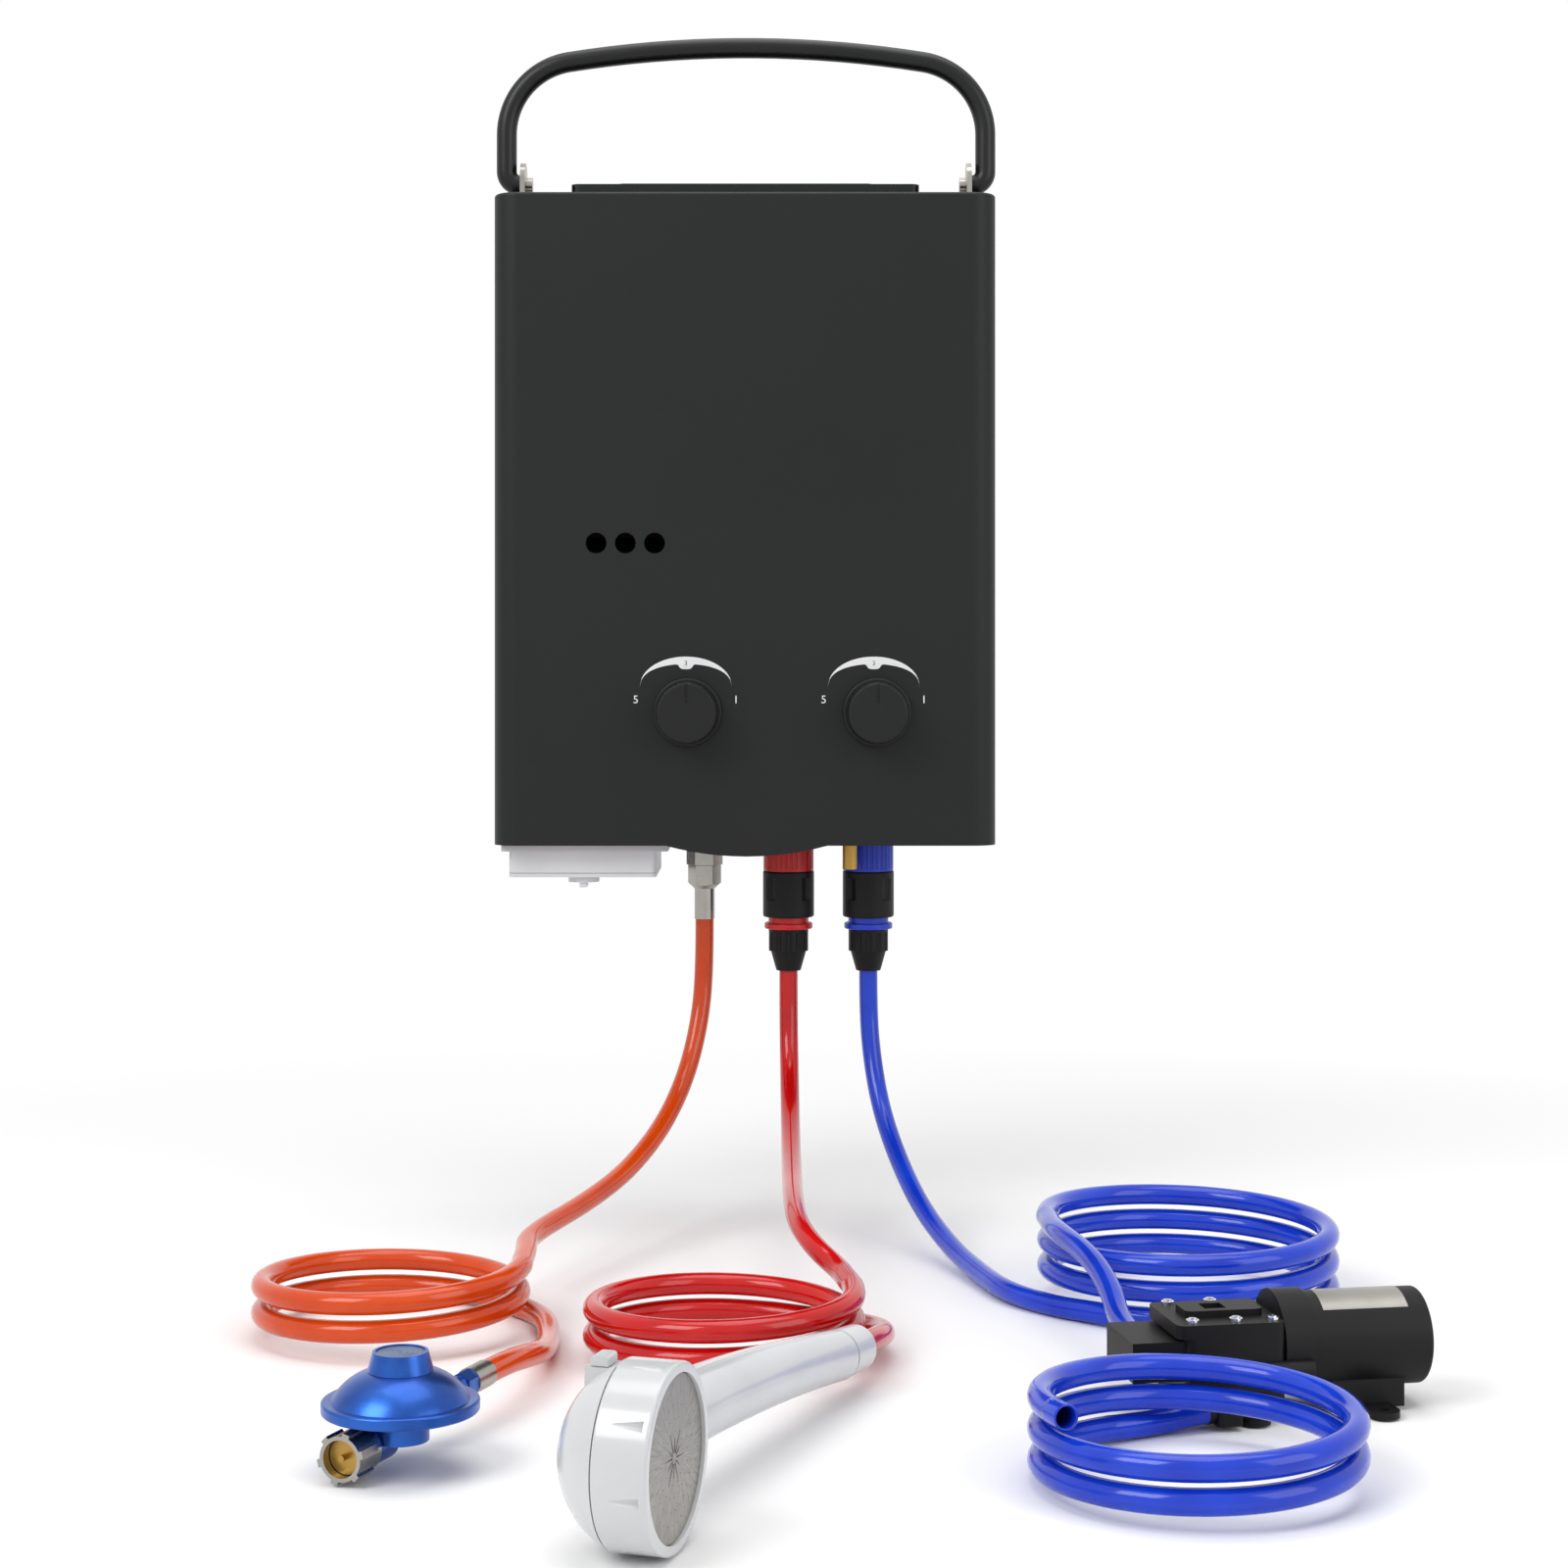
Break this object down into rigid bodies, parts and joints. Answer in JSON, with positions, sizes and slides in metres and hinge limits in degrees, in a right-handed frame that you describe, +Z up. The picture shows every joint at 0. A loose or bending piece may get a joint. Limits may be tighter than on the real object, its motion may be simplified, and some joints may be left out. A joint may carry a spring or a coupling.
{
  "type": "portable propane water heater",
  "caption": "Portable tankless gas water heater with folding handle, two knobs, gas hose and regulator, shower hose with hand shower, and a supply pump.",
  "frame": {"origin": "centre of the wall hook hole, at the rear face of the back plate", "axes": "+X to the right seen from the front, +Y towards the wall, +Z up"},
  "size_m": [0.5571, 0.7146, 0.7036],
  "materials": {
    "black_steel": "satin powder coat",
    "black_tube": "satin paint",
    "black_plastic": "fine moulded grain",
    "white_plastic": "semi gloss",
    "red_plastic": "moulded",
    "blue_plastic": "moulded",
    "orange_hose": "glossy",
    "red_hose": "glossy",
    "blue_hose": "glossy",
    "steel": "nickel plated",
    "brass": "turned",
    "copper": "drawn",
    "aluminium": "die cast",
    "blue_casting": "metallic lacquer"
  },
  "bodies": {
    "root": {"back_plate": "black_steel", "battery_box": "white_plastic", "battery_cells": "steel", "burner": "steel", "cold_connector_body": "black_plastic", "cold_hose_nut": "black_plastic", "cold_tap_nut": "blue_plastic", "combustion_chamber": "copper", "cover_screws": "steel", "drain_valve": "brass", "electrodes": "steel", "exchanger_tube": "copper", "exhaust_hood": "black_steel", "front_cover": "black_steel", "gas_flare_nut": "steel", "gas_hose_coil": "orange_hose", "gas_hose_ferrules": "steel", "gas_hose_runs": "orange_hose", "gas_inlet_nipple": "steel", "gas_manifold": "aluminium", "gas_valve_body": "aluminium", "handle_brackets": "steel", "handle_pins": "steel", "heat_exchanger": "copper", "hook_tab": "black_steel", "hot_connector_body": "black_plastic", "hot_hose_nut": "black_plastic", "hot_tap_nut": "red_plastic", "igniter_module": "black_plastic", "pump_base": "black_plastic", "pump_cover": "black_plastic", "pump_housing": "black_plastic", "pump_motor": "black_plastic", "pump_screws": "steel", "regulator_body": "blue_casting", "regulator_bonnet": "blue_casting", "regulator_nipple": "brass", "shower_hose_coil": "red_hose", "shower_hose_runs": "red_hose", "shower_ring": "white_plastic", "shower_shell": "white_plastic", "spray_plate": "steel", "suction_hose_coil": "blue_hose", "suction_hose_run": "blue_hose", "supply_hose_coil": "blue_hose", "supply_hose_runs": "blue_hose", "water_pipes": "copper", "water_valve_body": "brass"},
    "handle": {"handle_tube": "black_tube"},
    "gas_control": {"gas_knob": "black_plastic", "gas_stem": "steel"},
    "water_control": {"water_knob": "black_plastic", "water_stem": "steel"},
    "battery_door": {"battery_lid": "white_plastic"},
    "battery_catch": {"battery_knob": "white_plastic"},
    "hot_release": {"hot_release_ring": "red_plastic"},
    "cold_release": {"cold_release_ring": "blue_plastic"},
    "inlet_nut": {"regulator_nut": "steel"},
    "hose_swivel": {"shower_collar": "white_plastic"},
    "flow_button": {"shower_button": "white_plastic"}
  },
  "joints": [
    {"name": "handle_fold", "type": "hinge", "parent": "root", "child": "handle", "pos_m": [0, -0.06, 0.004], "axis": [1, 0, 0], "range_deg": [-90, 90]},
    {"name": "gas_turn", "type": "hinge", "parent": "root", "child": "gas_control", "pos_m": [-0.0328, -0.13, -0.3083], "axis": [0, 1, 0], "range_deg": [-90, 90]},
    {"name": "water_turn", "type": "hinge", "parent": "root", "child": "water_control", "pos_m": [0.076, -0.13, -0.3083], "axis": [0, 1, 0], "range_deg": [-90, 90]},
    {"name": "battery_door_swing", "type": "hinge", "parent": "root", "child": "battery_door", "pos_m": [-0.094, -0.0306, -0.402], "axis": [1, 0, 0], "range_deg": [0, 80]},
    {"name": "battery_catch_turn", "type": "hinge", "parent": "battery_door", "child": "battery_catch", "pos_m": [-0.094, -0.096, -0.407], "axis": [0, 0, 1], "range_deg": [0, 90]},
    {"name": "hot_release_push", "type": "slide", "parent": "root", "child": "hot_release", "axis": [0, 0, 1], "range_m": [0, 0.003], "stiffness_N_per_m": 600},
    {"name": "cold_release_push", "type": "slide", "parent": "root", "child": "cold_release", "axis": [0, 0, 1], "range_m": [0, 0.003], "stiffness_N_per_m": 600},
    {"name": "inlet_nut_spin", "type": "hinge", "parent": "root", "child": "inlet_nut", "pos_m": [-0.15842, -0.59496, -0.6002], "axis": [0.36, 0.933, 0], "continuous": true},
    {"name": "hose_swivel_spin", "type": "hinge", "parent": "root", "child": "hose_swivel", "pos_m": [0.05545, -0.44197, -0.59278], "axis": [0.4042, 0.9119, -0.0706], "continuous": true},
    {"name": "flow_button_slide", "type": "slide", "parent": "root", "child": "flow_button", "axis": [0.9537, -0.3007, 0], "range_m": [0, 0.003]}
  ]
}
